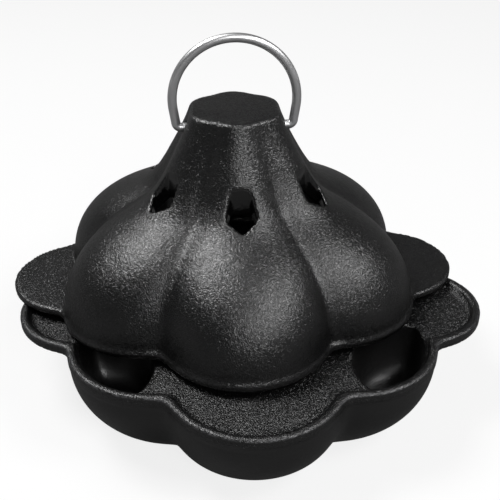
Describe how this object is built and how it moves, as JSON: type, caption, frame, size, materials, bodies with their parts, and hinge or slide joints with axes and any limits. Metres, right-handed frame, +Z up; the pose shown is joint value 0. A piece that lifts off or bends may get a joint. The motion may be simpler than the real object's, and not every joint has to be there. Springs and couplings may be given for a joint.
{
  "type": "garlic roaster",
  "caption": "Covered cast iron garlic roaster: a scalloped pan with wells and tab handles, and a bulb-shaped lid with vents and a swinging wire bail.",
  "frame": {"origin": "centre of the pan's flat underside", "axes": "+X along the tab handles, +Z up, -Y towards the side that the picture shows"},
  "size_m": [0.2063, 0.1896, 0.1523],
  "materials": {
    "pan_iron": "seasoned, fine sand-cast grain",
    "lid_iron": "seasoned, fine sand-cast grain",
    "bail_wire": "bright drawn stainless wire"
  },
  "bodies": {
    "roaster": {"pan": "pan_iron", "lid": "lid_iron"},
    "bail": {"bail": "bail_wire"}
  },
  "joints": [
    {"name": "bail_swing", "type": "hinge", "parent": "roaster", "child": "bail", "pos_m": [-0.0065, 0.025, 0.1134], "axis": [0.9981, 0.061, 0], "range_deg": [-102, 102]}
  ]
}
